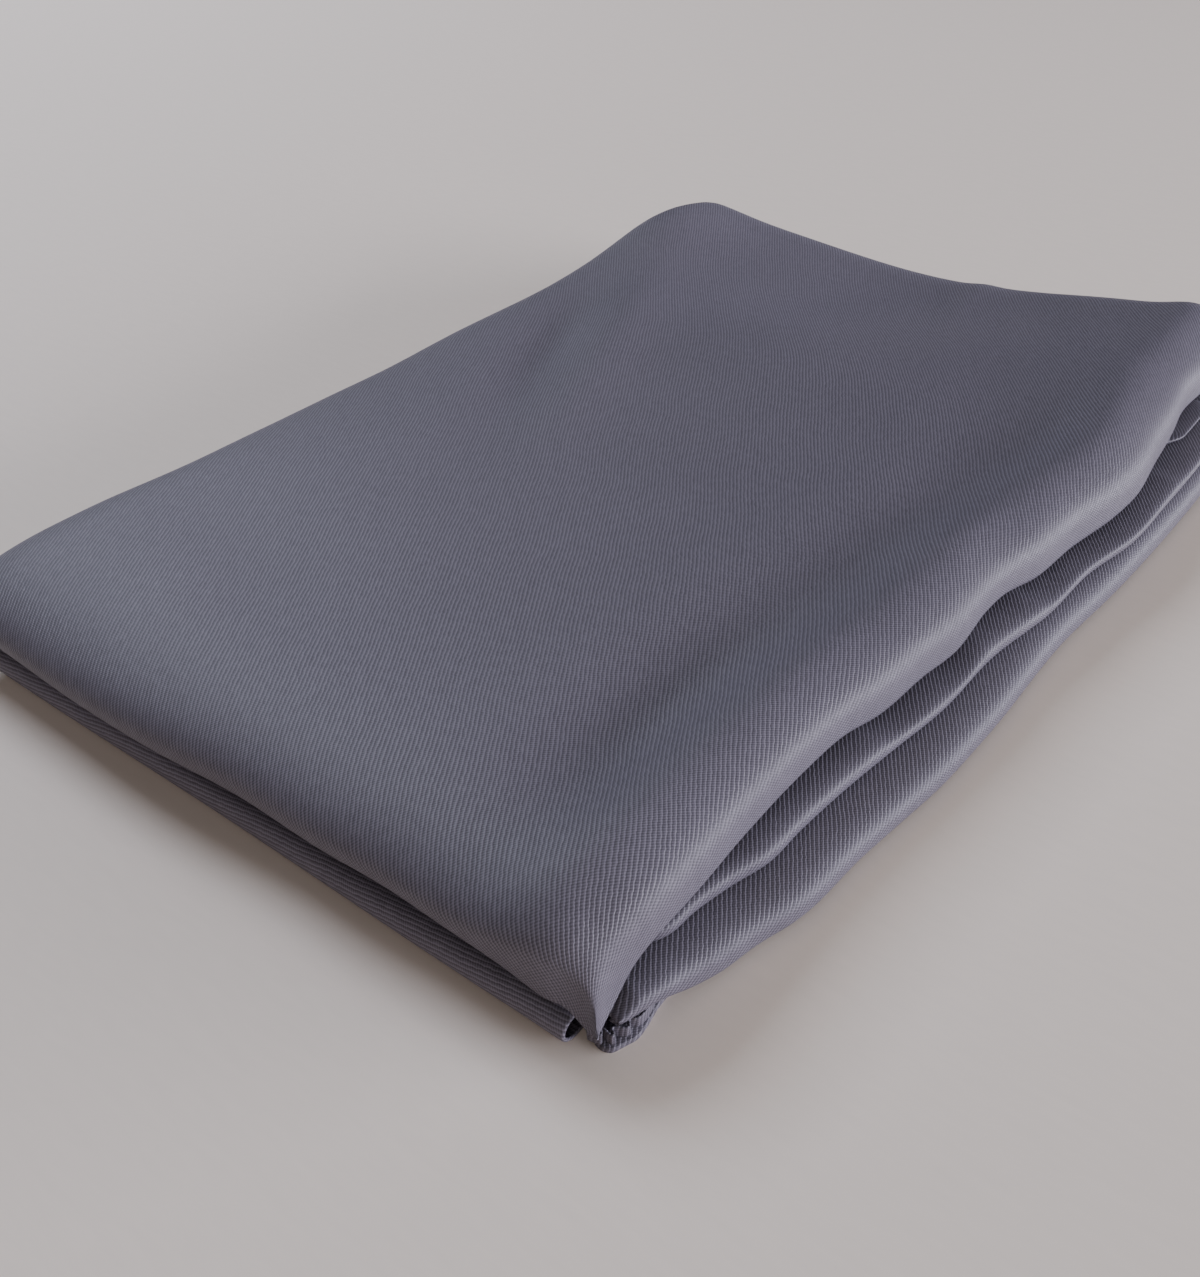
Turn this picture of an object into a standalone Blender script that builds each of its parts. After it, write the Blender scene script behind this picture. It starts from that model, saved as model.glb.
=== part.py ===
"""A ribbed chiffon hijab, folded into a flat pack and lying on a table.

Every shape is worked out in millimetres in the pack's own plan. X runs along the long side from the near
end, Y runs across from the near side, Z is up, and the nearest corner stands at the origin. place() then
moves the plan so that the pack stands centred on the world's origin, in metres.
"""

import math

import bpy
import numpy as np

# Driving sizes, in millimetres
CLOTH_WALL = 1.2
SEAM_GAP = 0.35
TOP_LEVEL = 26.0
NEAR_END_OUT = -7.0
NEAR_SHOULDER = 24.0
BACK_END = 292.0
BACK_SHOULDER = 275.0
UNDER_LEVEL = 8.0
MIDDLE_LEVEL = 11.5
LOWER_LEVEL = 6.4
CENTRE_X = 142.63
CENTRE_Y = 82.33

# How far the shoulders reach in from each long side, and the radius of the turned-under edges
NEAR_SIDE_SHOULDER = 13.0
FAR_SIDE_SHOULDER = 13.0
FAR_SIDE = 180.0
NEAR_TUCK = 3.0
FAR_TUCK = 5.0
NEAR_END_TUCK = 9.0
BACK_END_TUCK = 8.0

# Where each rounded side stands out furthest, as a share of its height
NEAR_END_WIDEST = 0.49
BACK_END_WIDEST = 0.40
NEAR_SIDE_WIDEST = 0.20
FAR_SIDE_WIDEST = 0.30

# The top sheet's corners, where the folds are pinched flat
CORNER_FLARE = -0.35
CORNER_SHARE = 0.07

# The near side's edges: distance along, how far out each edge stands and its level
TOP_EDGE = [
    # along, out, level
    (0.0, 0.0, 6.0),
    (4.0, 0.3, 8.2),
    (9.0, 0.0, 11.0),
    (15.0, -0.7, 13.2),
    (25.0, -1.0, 14.2),
    (40.0, -0.6, 15.0),
    (60.0, -1.0, 16.0),
    (71.0, -1.8, 16.2),
    (84.0, -3.8, 14.4),
    (98.0, -5.0, 14.5),
    (110.0, -6.4, 14.0),
    (124.0, -6.2, 16.0),
    (131.0, -6.6, 16.2),
    (145.0, -8.9, 14.2),
    (160.0, -10.2, 14.0),
    (178.0, -13.2, 14.0),
    (190.0, -14.0, 14.0),
    (207.0, -12.4, 14.6),
    (222.0, -11.2, 16.0),
    (234.0, -9.5, 16.5),
    (253.0, -9.8, 16.0),
    (264.0, -9.2, 15.2),
    (276.0, -8.5, 12.5),
    (285.0, -7.2, 7.0),
    (292.0, -6.0, 3.2),
]
MIDDLE_EDGE = [
    # along, out
    (13.0, 5.0),
    (18.0, 1.2),
    (27.0, -0.2),
    (35.0, -1.9),
    (43.0, -4.1),
    (53.0, -4.5),
    (68.0, -5.8),
    (81.0, -7.5),
    (98.0, -9.9),
    (120.0, -10.6),
    (142.0, -14.0),
    (161.0, -14.9),
    (180.0, -18.3),
    (200.0, -18.8),
    (235.0, -18.6),
    (256.0, -16.5),
    (268.0, -10.0),
]
UNDER_EDGE = [
    # along, out, level
    (1.5, -0.8, 4.9),
    (4.0, -1.9, 4.9),
    (7.0, -2.8, 4.9),
    (10.0, -3.6, 4.8),
    (13.0, -4.4, 4.2),
    (17.0, -5.4, 2.8),
    (23.0, -7.2, 2.0),
    (32.0, -9.2, 2.0),
    (40.0, -11.6, 2.0),
    (61.0, -13.6, 2.0),
    (72.0, -15.0, 2.0),
    (84.0, -16.5, 2.0),
    (105.0, -17.5, 2.0),
    (144.0, -17.6, 2.0),
    (168.0, -19.6, 2.0),
    (199.0, -21.0, 2.0),
    (235.0, -21.0, 2.0),
    (258.0, -19.0, 2.0),
    (272.0, -12.0, 2.0),
]

# The far side's edges
FAR_EDGE = [
    # along, top sheet out, top sheet level, middle fold out, under sheet out
    (0.0, 180.0, 11.5, 175.0, 176.0),
    (12.0, 180.2, 12.8, 178.0, 180.0),
    (30.0, 180.0, 14.4, 181.0, 183.5),
    (62.0, 178.6, 13.8, 182.0, 185.0),
    (95.0, 179.0, 14.8, 181.6, 184.5),
    (128.0, 178.4, 13.9, 182.6, 186.0),
    (160.0, 178.8, 14.9, 181.4, 185.2),
    (196.0, 178.4, 13.8, 182.2, 186.0),
    (230.0, 180.6, 14.6, 182.4, 185.4),
    (256.0, 181.4, 14.0, 180.5, 183.0),
    (278.0, 178.4, 10.5, 177.5, 180.0),
    (292.0, 174.5, 4.8, 174.0, 178.0),
]

# How far the top sheet stands out round the near end
NEAR_END = [
    # across, out
    (0.0, -0.6),
    (3.5, -1.0),
    (9.0, -2.9),
    (18.0, -4.2),
    (28.0, -4.7),
    (43.0, -4.5),
    (58.0, -5.1),
    (80.0, -4.9),
    (106.0, -6.6),
    (128.0, -6.9),
    (156.0, -6.0),
    (180.0, -5.6),
]

# Soft hollows and rises of the top sheet
TOP_FORMS = [
    # along, across, rise, half length, half width, turn in degrees
    (276.0, 84.0, -7.4, 52.0, 54.0, 0.0),
    (257.0, 169.0, 5.6, 32.0, 18.0, 8.0),
    (126.0, 172.0, -1.3, 66.0, 20.0, 0.0),
    (288.0, 12.0, 1.4, 60.0, 34.0, 0.0),
    (176.0, 131.0, 1.6, 50.0, 9.0, 22.0),
    (160.0, 143.0, -2.4, 42.0, 9.0, 22.0),
    (104.0, 88.0, -1.6, 80.0, 42.0, 0.0),
    (270.0, 66.0, 1.0, 26.0, 5.0, 8.0),
    (40.0, 126.0, -0.6, 30.0, 16.0, 60.0),
    (172.0, 44.0, -1.0, 70.0, 22.0, -8.0),
    (194.0, 86.0, 1.2, 26.0, 46.0, 0.0),
    (232.0, 16.0, 2.2, 42.0, 34.0, 0.0),
    (238.0, 104.0, -1.4, 30.0, 30.0, 0.0),
    (58.0, 26.0, -1.8, 42.0, 12.0, 0.0),
    (200.0, 30.0, -1.0, 40.0, 11.0, 8.0),
]
EDGE_RIDGE = 2.0
EDGE_RIDGE_WIDTH = 8.0
INNER_TROUGH = -2.0
INNER_TROUGH_IN = 27.0
INNER_TROUGH_WIDTH = 12.0

# Plan of the lower layers' pleats at the nearest corner: rounded folds outside, with grooves between
CORNER_PLEATS = [
    # along, across
    (2.2, 3.6),
    (-0.2, 2.7),
    (-0.1, 1.6),
    (0.3, 0.0),
    (1.1, 0.1),
    (1.7, 0.9),
    (1.2, -1.3),
    (2.1, -1.8),
    (2.8, -0.3),
    (3.8, -2.3),
    (4.9, -2.7),
    (5.7, -1.5),
    (6.6, -2.9),
    (9.5, -2.9),
    (12.5, -2.0),
    (12.5, 1.0),
    (6.0, 2.6),
]
PLEAT_TOP = 3.6
LEAST_STEP = 0.45
BASE_LEVEL = 1.0

# Where the inner layers' sections stand along the pack, and where their upper face has points across
INNER_STATIONS = [2, 5, 10, 17, 26, 45, 70, 95, 120, 145, 170, 195, 215, 235, 250, 262, 272, 280, 284]
INNER_SHARES = [1.0, 0.97, 0.9, 0.8, 0.7, 0.6, 0.5, 0.4, 0.3, 0.2, 0.12, 0.05, 0.0]

# Colours, linear
LAVENDER_GREY = (0.150, 0.148, 0.178, 1.0)
SHADED_GREY = (0.115, 0.108, 0.125, 1.0)


def curve_through(table, column):
    """A smooth function of the distance along, through one column of a table."""
    along = np.array([row[0] for row in table])
    value = np.array([row[column] for row in table])
    slope = np.gradient(value, along)

    def read(x):
        x = np.clip(x, along[0], along[-1])
        i = np.clip(np.searchsorted(along, x) - 1, 0, len(along) - 2)
        step = along[i + 1] - along[i]
        t = (x - along[i]) / step
        rise = 3 * t**2 - 2 * t**3
        start = (t**3 - 2 * t**2 + t) * step * slope[i]
        end = (t**3 - t**2) * step * slope[i + 1]
        return value[i] * (1 - rise) + value[i + 1] * rise + start + end

    return read


top_out = curve_through(TOP_EDGE, 1)
top_edge_level = curve_through(TOP_EDGE, 2)
middle_out = curve_through(MIDDLE_EDGE, 1)
under_out = curve_through(UNDER_EDGE, 1)
under_edge_level = curve_through(UNDER_EDGE, 2)
far_out = curve_through(FAR_EDGE, 1)
far_edge_level = curve_through(FAR_EDGE, 2)
far_middle_out = curve_through(FAR_EDGE, 3)
far_under_out = curve_through(FAR_EDGE, 4)
near_end_out = curve_through(NEAR_END, 1)


def top_rim_level(x):
    return float(top_edge_level(x)) - 1.7


def ease(t):
    """0 up to t = 0, 1 from t = 1, and a smooth rise between."""
    t = np.clip(t, 0.0, 1.0)
    return t * t * (3 - 2 * t)


def bell(distance):
    return np.exp(-(distance**2))


def top_height(x, y):
    """Level of the top sheet's upper face."""
    level = TOP_LEVEL
    for along, across, rise, half_length, half_width, turn in TOP_FORMS:
        angle = math.radians(turn)
        run = (x - along) * math.cos(angle) + (y - across) * math.sin(angle)
        side = (y - across) * math.cos(angle) - (x - along) * math.sin(angle)
        level = level + rise * bell(run / half_length) * bell(side / half_width)
    inward = y - top_out(x)
    level = level + EDGE_RIDGE * bell((inward - NEAR_SIDE_SHOULDER) / EDGE_RIDGE_WIDTH)
    fade = ease((x - 5.0) / 40.0) * ease((235.0 - x) / 60.0)
    level = level + INNER_TROUGH * fade * bell((inward - INNER_TROUGH_IN) / INNER_TROUGH_WIDTH)
    return level


def end_profile(tuck_angles, shoulder_angles, widest_height):
    """Steps round an end of the pack, from the rim up to the shoulder.

    Each is (share of the tuck, share of the way in to the shoulder, height)."""
    lowest = math.sin(math.radians(tuck_angles[0]))
    steps = []
    for angle in tuck_angles:
        turn = math.radians(angle)
        steps.append((1 - math.cos(turn), 0.0, widest_height * (1 - math.sin(turn) / lowest)))
    for angle in shoulder_angles:
        turn = math.radians(angle)
        steps.append((0.0, 1 - math.cos(turn), widest_height + (1 - widest_height) * math.sin(turn)))
    return steps


def top_sheet():
    """Grid of the top sheet's outer face: a row for each step along, a column for each step across."""
    near_end = end_profile((-62, -46, -30, -14), (0, 16, 32, 48, 64, 78, 90), NEAR_END_WIDEST)
    back_end = end_profile((-60, -43, -25), (-6, 12, 28, 44, 60, 76), BACK_END_WIDEST)
    near_side = end_profile((-65, -35), (0, 16, 32, 48, 64, 79, 90), NEAR_SIDE_WIDEST)
    far_side = end_profile((-70, -38), (0, 22, 44, 66, 90), FAR_SIDE_WIDEST)
    along_steps = [("near", *step) for step in near_end]
    along_steps += [("top", x, 0.0, 1.0) for x in np.linspace(NEAR_SHOULDER, BACK_SHOULDER, 26)[1:]]
    along_steps += [("back", *step) for step in reversed(back_end)]
    across_steps = [("near", *step) for step in near_side]
    across_steps += [("inside", share**1.15, 0.0, 1.0) for share in np.linspace(0.0, 1.0, 13)[1:-1]]
    across_steps += [("far", *step) for step in reversed(far_side)]

    rows = []
    for end, end_tuck, end_reach, end_height in along_steps:
        row = []
        for side, side_tuck, side_reach, side_height in across_steps:
            if side == "near":
                across = NEAR_SIDE_SHOULDER * side_reach
            elif side == "inside":
                across = NEAR_SIDE_SHOULDER + (FAR_SIDE - FAR_SIDE_SHOULDER - NEAR_SIDE_SHOULDER) * side_tuck
            else:
                across = FAR_SIDE - FAR_SIDE_SHOULDER * side_reach
            # The folds are pinched flat at the corners, where their rims stand out a little in place of in
            pinch = float(ease((across - 2.0) / 34.0) * ease((FAR_SIDE - 2.0 - across) / 20.0))
            if end == "near":
                widest = float(near_end_out(across))
                tuck = CORNER_FLARE + (NEAR_END_TUCK - CORNER_FLARE) * pinch
                x = widest + tuck * end_tuck + (NEAR_SHOULDER - widest) * end_reach
            elif end == "top":
                x = end_tuck
            else:
                tuck = CORNER_FLARE + (BACK_END_TUCK - CORNER_FLARE) * pinch
                x = BACK_END - tuck * end_tuck - (BACK_END - BACK_SHOULDER) * end_reach
            near_y = float(top_out(x))
            far_y = float(far_out(x))
            fade = -0.12 + 1.12 * float(ease((x - 3.0) / 15.0) * ease((281.0 - x) / 12.0))
            if side == "near":
                y = near_y + NEAR_TUCK * fade * side_tuck + NEAR_SIDE_SHOULDER * side_reach
            elif side == "inside":
                start = near_y + NEAR_SIDE_SHOULDER
                y = start + (far_y - FAR_SIDE_SHOULDER - start) * side_tuck
            else:
                y = far_y - FAR_TUCK * fade * side_tuck - FAR_SIDE_SHOULDER * side_reach
            near_low = top_rim_level(x)
            far_low = float(far_edge_level(x)) - 2.5
            blend = 6.5 + 38.5 * float(ease((x - 2.0) / 20.0))
            low = near_low + (far_low - near_low) * float(ease((y - near_y) / blend))
            share = end_height * (CORNER_SHARE + (1 - CORNER_SHARE) * side_height)
            row.append((x, y, low + (float(top_height(x, y)) - low) * share))
        rows.append(row)
    return np.array(rows)


def toward_core(points, distance):
    """Each point moved inwards, toward the flat core that lies in the middle of the pack."""
    core = points.copy()
    core[..., 0] = np.clip(points[..., 0], 16.0, 268.0)
    core[..., 1] = np.clip(points[..., 1], 14.0, 164.0)
    core[..., 2] = 13.0
    way = core - points
    length = np.linalg.norm(way, axis=-1, keepdims=True)
    return points + way / length * distance


def edge_bead(outer, inner, before):
    """The middle of a rim, stood a little proud so that the edge is round."""
    way = outer - before
    length = float(np.linalg.norm(way))
    proud = 0.35 * float(ease((length - 0.7) / 0.8))
    return (outer + inner) / 2 + way / length * proud


def place(points):
    return (np.asarray(points) - (CENTRE_X, CENTRE_Y, 0.0)) * 0.001


def new_piece(name, points, faces, colour, roughness):
    """An object with its own material, from points in the pack's plan."""
    mesh = bpy.data.meshes.new(name)
    mesh.from_pydata([tuple(p) for p in place(points)], [], faces)
    mesh.update()
    piece = bpy.data.objects.new(name, mesh)
    bpy.context.scene.collection.objects.link(piece)
    material = bpy.data.materials.new(name)
    material.use_nodes = True
    shader = material.node_tree.nodes["Principled BSDF"]
    shader.inputs["Base Color"].default_value = colour
    shader.inputs["Roughness"].default_value = roughness
    shader.inputs["Metallic"].default_value = 0.0
    mesh.materials.append(material)
    mesh.shade_smooth()
    mesh.set_sharp_from_angle(angle=math.radians(60))
    return piece


def wall(name, outer, inner, colour, roughness):
    """A closed wall between two grids of the same size, with round rims."""
    rows, columns = outer.shape[:2]
    size = rows * columns
    points = [*outer.reshape(-1, 3), *inner.reshape(-1, 3)]
    faces = []
    for i in range(rows - 1):
        for j in range(columns - 1):
            a, b = i * columns + j, (i + 1) * columns + j
            faces.append((a, b, b + 1, a + 1))
            faces.append((size + a, size + a + 1, size + b + 1, size + b))
    rim = [(i, 0, i, 1) for i in range(rows - 1)]
    rim += [(rows - 1, j, rows - 2, j) for j in range(columns - 1)]
    rim += [(i, columns - 1, i, columns - 2) for i in range(rows - 1, 0, -1)]
    rim += [(0, j, 1, j) for j in range(columns - 1, 0, -1)]
    beads = []
    for i, j, back_i, back_j in rim:
        beads.append(edge_bead(outer[i, j], inner[i, j], outer[back_i, back_j]))
    first_bead = len(points)
    points += beads
    count = len(rim)
    for k in range(count):
        after = (k + 1) % count
        o1 = rim[k][0] * columns + rim[k][1]
        o2 = rim[after][0] * columns + rim[after][1]
        b1, b2 = first_bead + k, first_bead + after
        faces.append((o1, b1, b2, o2))
        faces.append((size + o1, size + o2, b2, b1))
    return new_piece(name, points, faces, colour, roughness)


def loft(name, rings, colour, roughness):
    """A closed solid through flat rings of points, each of the same count, with a flat face at each end."""
    rings = np.array(rings)
    stations, around = rings.shape[:2]
    faces = [tuple(range(around))[::-1]]
    for i in range(stations - 1):
        for j in range(around):
            after = (j + 1) % around
            a, b = i * around, (i + 1) * around
            faces.append((a + j, a + after, b + after, b + j))
    faces.append(tuple(range((stations - 1) * around, stations * around)))
    return new_piece(name, rings.reshape(-1, 3), faces, colour, roughness)


def drooped_edge(start, end, steps):
    """From a level start, a round droop that ends upright."""
    points = []
    for k in range(1, steps + 1):
        turn = math.pi / 2 * k / steps
        y = start[0] + (end[0] - start[0]) * math.sin(turn)
        z = end[1] + (start[1] - end[1]) * math.cos(turn)
        points.append((y, z))
    return points


def slab_ring(x, near, far, level, thickness, near_droop, far_droop, inside):
    """One ring of a folded slab whose edges droop, and turn in under themselves.

    near and far are (out, level) of the edges, near_droop and far_droop the points where each droop starts,
    and inside lists where the flat middle has its points."""
    tip = thickness * 0.42
    far_upper = drooped_edge(far_droop, (far[0], far[1] + tip), 4)
    near_upper = drooped_edge(near_droop, (near[0], near[1] + tip), 5)
    upper = far_upper[::-1] + [far_droop] + [(y, level) for y in inside] + [near_droop] + near_upper
    lower = [(near[0] + tip, near[1] - tip)]
    for y, z in upper[-2:len(upper) // 2:-1]:
        lower.append((max(y, lower[-1][0] + LEAST_STEP), max(z - thickness, near[1] - tip)))
    from_far = [(far[0] - tip, far[1] - tip)]
    for y, z in upper[1:len(upper) // 2 + 1]:
        from_far.append((min(y, from_far[-1][0] - LEAST_STEP), max(z - thickness, far[1] - tip)))
    return [(x, y, z) for y, z in upper + lower + from_far[::-1]]


def make_top_panel():
    outer = top_sheet()
    inner = toward_core(outer, CLOTH_WALL)
    return wall("top_panel", outer, inner, LAVENDER_GREY, 0.62)


def make_middle_fold():
    rings = []
    for x in np.linspace(13.0, 268.0, 27):
        thickness = 2.0 + 0.9 * float(ease((x - 13.0) / 20.0))
        near = (float(middle_out(x)), 9.9)
        far = (float(far_middle_out(x)), 8.4)
        highest = 12.6 - 1.0 * float(ease((x - 203.0) / 12.0))
        start_level = min(max(top_rim_level(x) - 0.9, 10.6), highest)
        near_droop = (max(float(top_out(x)) + 4.0, near[0] + 2.5), start_level)
        inside = (150.0, 110.0, 60.0, 20.0)
        far_droop = (164.0, MIDDLE_LEVEL - 0.2)
        rings.append(slab_ring(x, near, far, MIDDLE_LEVEL, thickness, near_droop, far_droop, inside))
    return loft("middle_fold", rings, LAVENDER_GREY, 0.62)


def make_end_fold():
    thickness = 1.1
    inner_edge = -4.4
    rings = []
    for x in np.linspace(221.0, 252.0, 8):
        emerge = float(ease((x - 221.0) / 10.0)) * float(ease((254.0 - x) / 8.0))
        out = -9.0 - 3.4 * emerge
        level = top_rim_level(x) - 0.9
        level = min(level, 13.5)
        upper = [(inner_edge, level), (inner_edge - 2.0, level)]
        upper += drooped_edge((inner_edge - 2.0, level), (out, level - 0.5), 4)
        lower = [(out + 0.5, level - thickness)]
        for y, _ in upper[-2::-1]:
            lower.append((max(y, min(lower[-1][0] + LEAST_STEP, inner_edge)), level - thickness))
        rings.append([(x, y, z) for y, z in upper + lower])
    return loft("end_fold", rings, LAVENDER_GREY, 0.62)


def make_under_panel():
    thickness = 1.2
    rings = []
    for x in [3.2, 5.0, 7.0, 10.0, 13.0, 17.0, 23.0, *np.linspace(32.0, 272.0, 23)]:
        near = (float(under_out(x)), float(under_edge_level(x)) - 0.3)
        far = (float(far_under_out(x)), 1.2)
        # The droop starts under the middle fold, and further in only where the lower fold leaves room
        furthest = 3.1 + 1.9 * float(ease((x - 4.0) / 6.0))
        start = max(near[0] + 4.5, min(float(middle_out(x)) + 7.0, furthest))
        level = min(UNDER_LEVEL, top_rim_level(x) - 0.75)
        inside = (150.0, 110.0, 60.0, 14.0, max(4.3, start + 1.2))
        far_droop = (168.0, UNDER_LEVEL)
        rings.append(slab_ring(x, near, far, UNDER_LEVEL, thickness, (start, level), far_droop, inside))
    return loft("under_panel", rings, LAVENDER_GREY, 0.62)


def skin_level(x, y):
    """Level of the top sheet's outer face over a point of the plan."""
    near_y = float(top_out(x))
    far_y = float(far_out(x))

    def round_up(distance, reach, start):
        side = 1 - np.clip(distance / reach, 0.0, 1.0)
        return start + (1 - start) * math.sqrt(1 - side * side)

    share = round_up(x - NEAR_END_OUT, NEAR_SHOULDER - NEAR_END_OUT, NEAR_END_WIDEST)
    share *= round_up(BACK_END - x, BACK_END - BACK_SHOULDER, BACK_END_WIDEST)
    share *= round_up(y - near_y, NEAR_SIDE_SHOULDER, NEAR_SIDE_WIDEST)
    share *= round_up(far_y - y, FAR_SIDE_SHOULDER, FAR_SIDE_WIDEST)
    low = top_rim_level(x)
    return low + (float(top_height(x, y)) - low) * share


def layered_ring(x, near_y, far_y, upper_levels, lower_level, plies, depth):
    """One ring of the hidden layers: plain above and below, with a soft scallop for each ply at the sides.

    upper_levels is a list of (y, z) from the far side to the near side."""
    steps = 2 * plies + 1

    def side(y, way, top):
        points = []
        for k in range(steps + 1):
            share = k / steps
            z = top + (lower_level - top) * share
            bulge = depth * abs(math.sin(math.pi * plies * share))
            points.append((y + way * bulge, z))
        return points

    near_side = side(near_y, -1, upper_levels[-1][1])
    far_side = side(far_y, 1, upper_levels[0][1])
    half = (steps + 1) // 2
    upper = far_side[:half][::-1] + upper_levels[1:-1] + near_side[:half]
    lower = near_side[half:] + [(y, lower_level) for y, _ in upper_levels[-2:0:-1]] + far_side[half:][::-1]
    return [(x, y, z) for y, z in upper + lower]


def make_inner_layers():
    """The hidden layers of the upper pad."""
    lowest = MIDDLE_LEVEL + 1.5
    rings = []
    for x in INNER_STATIONS:
        narrow = 10.0 * (1 - float(ease((x - 2.0) / 12.0))) + 6.0 * float(ease((x - 268.0) / 16.0))
        near_y = float(top_out(x)) + 8.5 + narrow
        far_y = float(far_out(x)) - 7.0 - narrow
        upper = []
        for share in INNER_SHARES:
            y = near_y + (far_y - near_y) * share
            outward_y = y - 3.0 if share < 0.5 else y + 3.0
            outward_x = x - 3.0 if x < 140.0 else x + 3.0
            level = min(skin_level(outward_x, outward_y), skin_level(x, y)) - 2.8
            upper.append((y, max(level, lowest + 1.5)))
        rings.append(layered_ring(x, near_y, far_y, upper, lowest, 4, 0.8))
    return loft("inner_layers", rings, SHADED_GREY, 0.75)


def make_lower_layers():
    """The hidden layers of the lower pad."""
    lowest = BASE_LEVEL + SEAM_GAP
    highest = LOWER_LEVEL - CLOTH_WALL - SEAM_GAP
    rings = []
    for x in (3.5, 30.0, 90.0, 150.0, 210.0, 260.0, 281.0):
        upper = [(166.0, highest), (150.0, highest), (80.0, highest), (22.0, highest), (6.0, highest - 0.9)]
        rings.append(layered_ring(x, 6.0, 166.0, upper, lowest, 2, 0.7))
    return loft("lower_layers", rings, SHADED_GREY, 0.75)


def make_lower_fold():
    """The lower pad's turn of cloth at the near end, from the table up and back over the pad."""
    radius = LOWER_LEVEL / 2
    outer, inner = [], []
    turns = [(3.0, -90.0)] + [(0.0, angle) for angle in range(-90, 91, 20)]
    turns += [(run, 90.0) for run in (10.0, 60.0, 120.0, 180.0, 230.0, 280.0)]
    for run, angle in turns:
        turn = math.radians(angle)
        outer_row, inner_row = [], []
        for y in np.linspace(4.8, 168.0, 16):
            swell = 0.25 * math.sin(y / 19.0) * math.cos(turn)
            press = 0.9 - 0.9 * float(ease((y - 4.8) / 9.0))
            for row, reach in ((outer_row, radius), (inner_row, radius - CLOTH_WALL)):
                level = radius + reach * math.sin(turn)
                level -= press * level / LOWER_LEVEL
                row.append((run - (reach + swell) * math.cos(turn), y, level))
        outer.append(outer_row)
        inner.append(inner_row)
    return wall("lower_fold", np.array(outer), np.array(inner), LAVENDER_GREY, 0.62)


def rounded_outline(corners, rounds):
    """An outline whose corners are cut round, by the same share each time."""
    points = np.array(corners)
    for _ in range(rounds):
        after = np.roll(points, -1, axis=0)
        points = np.stack([points * 0.78 + after * 0.22, points * 0.22 + after * 0.78], axis=1).reshape(-1, 2)
    return points


def prism(name, outline, low, highs, colour, roughness):
    """A closed upright solid over an outline that runs anticlockwise, with a height for each of its points."""
    count = len(outline)
    points = [(x, y, low) for x, y in outline] + [(x, y, z) for (x, y), z in zip(outline, highs)]
    faces = [tuple(range(count))[::-1], tuple(range(count, 2 * count))]
    for k in range(count):
        after = (k + 1) % count
        faces.append((k, after, count + after, count + k))
    return new_piece(name, points, faces, colour, roughness)


def make_base_panel():
    corners = [
        (0.5, 1.8), (0.2, -0.3), (0.9, -1.8), (3.1, -2.6), (5.6, -3.6), (9.9, -3.0), (13.0, -2.3),
        (70.0, -2.0), (280.0, -2.0), (285.0, 2.0), (285.0, 168.0), (281.0, 174.0), (8.0, 174.0),
        (4.3, 168.0), (4.3, 4.0),
    ]
    outline = rounded_outline(corners, 1)
    return prism("base_panel", outline, 0.0, [BASE_LEVEL] * len(outline), LAVENDER_GREY, 0.62)


def make_corner_pleats():
    outline = rounded_outline(CORNER_PLEATS, 2)
    highs = [PLEAT_TOP] * len(outline)
    return prism("corner_pleats", outline, BASE_LEVEL + SEAM_GAP, highs, LAVENDER_GREY, 0.62)


def main():
    for old in list(bpy.data.objects):
        bpy.data.objects.remove(old)
    make_top_panel()
    make_end_fold()
    make_middle_fold()
    make_under_panel()
    make_inner_layers()
    make_lower_fold()
    make_lower_layers()
    make_base_panel()
    make_corner_pleats()


main()
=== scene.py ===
"""A folded hijab of ribbed chiffon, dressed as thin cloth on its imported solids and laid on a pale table.

Shapes are worked out in millimetres in the pack's own plan, as in the part's source: X runs along the long
side from the near end, Y runs across from the near side, and Z is up. in_metres() centres them.
"""

import math

import bpy
import numpy as np
from mathutils import Matrix, Vector


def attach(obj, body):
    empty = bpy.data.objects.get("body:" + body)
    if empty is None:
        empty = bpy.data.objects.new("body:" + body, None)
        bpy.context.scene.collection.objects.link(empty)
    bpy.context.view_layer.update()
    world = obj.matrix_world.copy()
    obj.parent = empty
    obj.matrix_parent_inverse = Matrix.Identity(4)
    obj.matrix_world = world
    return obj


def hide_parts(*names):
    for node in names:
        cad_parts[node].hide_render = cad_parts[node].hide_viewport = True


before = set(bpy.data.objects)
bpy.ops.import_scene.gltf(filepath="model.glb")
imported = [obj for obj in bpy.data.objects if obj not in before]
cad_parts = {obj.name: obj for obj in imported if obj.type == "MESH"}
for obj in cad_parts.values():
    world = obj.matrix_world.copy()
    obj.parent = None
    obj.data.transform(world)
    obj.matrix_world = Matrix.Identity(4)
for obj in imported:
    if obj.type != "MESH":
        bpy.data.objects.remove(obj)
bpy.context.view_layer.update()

bl_info = {
    "name": "Folded chiffon hijab",
    "version": (1, 0, 0),
    "blender": (4, 5, 0),
    "location": "View3D > Sidebar > Hijab",
    "description": "Builds a folded hijab of ribbed chiffon from thin sheets of cloth",
    "category": "Add Mesh",
}

# Driving sizes of the pack, in millimetres
TOP_LEVEL = 26.0
NEAR_END_OUT = -7.0
NEAR_SHOULDER = 24.0
BACK_END = 292.0
BACK_SHOULDER = 275.0
UNDER_LEVEL = 8.0
MIDDLE_LEVEL = 11.5
LOWER_LEVEL = 6.4
BASE_LEVEL = 1.0
SEAM_GAP = 0.35
PACK_CENTRE = (142.63, 82.33, 0.0)
NEAR_SIDE_SHOULDER = 13.0
FAR_SIDE_SHOULDER = 13.0
FAR_SIDE = 180.0
NEAR_TUCK = 3.0
FAR_TUCK = 5.0
NEAR_END_TUCK = 9.0
BACK_END_TUCK = 8.0

# Where each rounded side stands out furthest, as a share of its height
NEAR_END_WIDEST = 0.49
BACK_END_WIDEST = 0.40
NEAR_SIDE_WIDEST = 0.20
FAR_SIDE_WIDEST = 0.30

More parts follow.
